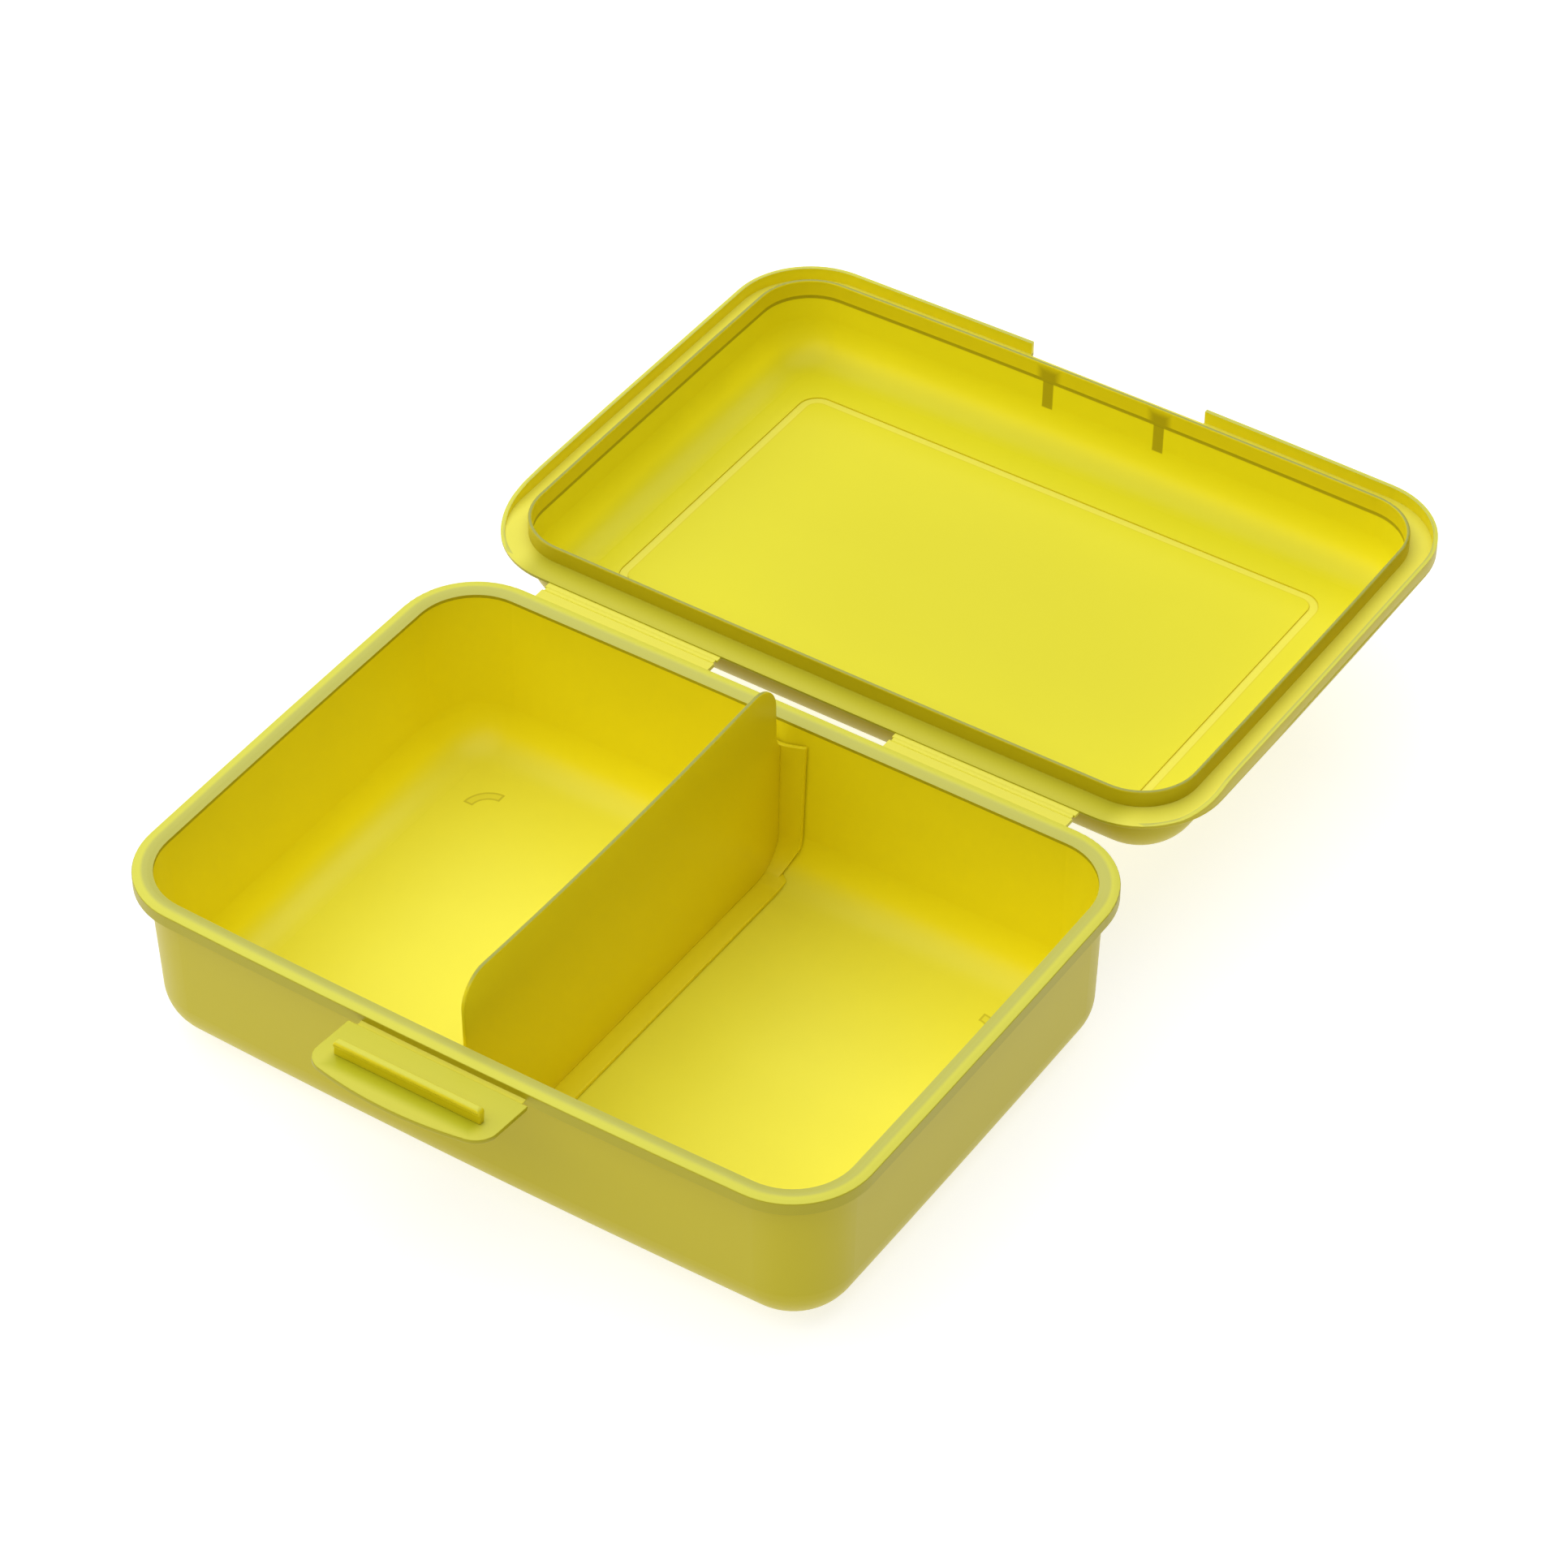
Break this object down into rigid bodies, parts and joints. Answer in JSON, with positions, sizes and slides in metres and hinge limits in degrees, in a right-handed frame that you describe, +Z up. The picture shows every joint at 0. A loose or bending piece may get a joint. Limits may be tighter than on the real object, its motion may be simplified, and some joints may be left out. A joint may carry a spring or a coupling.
{
  "type": "lunch box",
  "caption": "Rectangular lunch box with a domed lid on living hinges, a front latch flap and a loose divider, shown open.",
  "frame": {"origin": "under the middle of the whole open box in plan, from the latch flap's tip to the lid's far edge, on the plane that the tub's four feet stand on", "axes": "+X to the right along the long side, +Y from the latch towards the lid hinge, +Z up; the lid lies open behind the tub"},
  "size_m": [0.2232, 0.3424, 0.0679],
  "materials": {
    "box_plastic": "satin translucent polypropylene",
    "hinge_film": "thin translucent polypropylene film",
    "latch_plastic": "satin translucent polypropylene",
    "divider_plastic": "satin translucent polypropylene"
  },
  "bodies": {
    "tub": {"tub_shell": "box_plastic", "tub_rim": "box_plastic", "tub_feet": "box_plastic", "hinge_tab_left": "box_plastic", "hinge_tab_right": "box_plastic"},
    "hinge_films": {"hinge_film_left": "hinge_film", "hinge_film_right": "hinge_film"},
    "lid": {"lid_shell": "box_plastic", "lid_flange": "box_plastic", "lid_skirt": "box_plastic", "lid_lip": "box_plastic", "lid_hinge_pad_left": "box_plastic", "lid_hinge_pad_right": "box_plastic", "lid_catch_rib_left": "box_plastic", "lid_catch_rib_right": "box_plastic"},
    "latch_hinge": {"latch_film": "hinge_film"},
    "latch_flap": {"latch_plate": "latch_plastic", "latch_catch_bar": "latch_plastic"},
    "divider": {"divider_panel": "divider_plastic", "divider_foot_strip": "divider_plastic"}
  },
  "joints": [
    {"name": "lid_hinge", "type": "hinge", "parent": "tub", "child": "hinge_films", "pos_m": [0, 0.01029, 0.05143], "axis": [1, 0, 0], "range_deg": [0, 90]},
    {"name": "lid_second_fold", "type": "hinge", "parent": "hinge_films", "child": "lid", "pos_m": [0, 0.01169, 0.05143], "axis": [1, 0, 0], "range_deg": [0, 90]},
    {"name": "latch_hinge", "type": "hinge", "parent": "tub", "child": "latch_hinge", "pos_m": [0, -0.14771, 0.0498], "axis": [-1, 0, 0], "range_deg": [-35, 42]},
    {"name": "latch_second_fold", "type": "hinge", "parent": "latch_hinge", "child": "latch_flap", "pos_m": [0, -0.1498, 0.05002], "axis": [-1, 0, 0], "range_deg": [-35, 42]},
    {"name": "divider_slide", "type": "slide", "parent": "tub", "child": "divider", "axis": [1, 0, 0], "range_m": [-0.035, 0.035]}
  ],
  "couplings": [
    {"joint": "lid_second_fold", "follows": "lid_hinge", "ratio": 1},
    {"joint": "latch_second_fold", "follows": "latch_hinge", "ratio": 1}
  ]
}
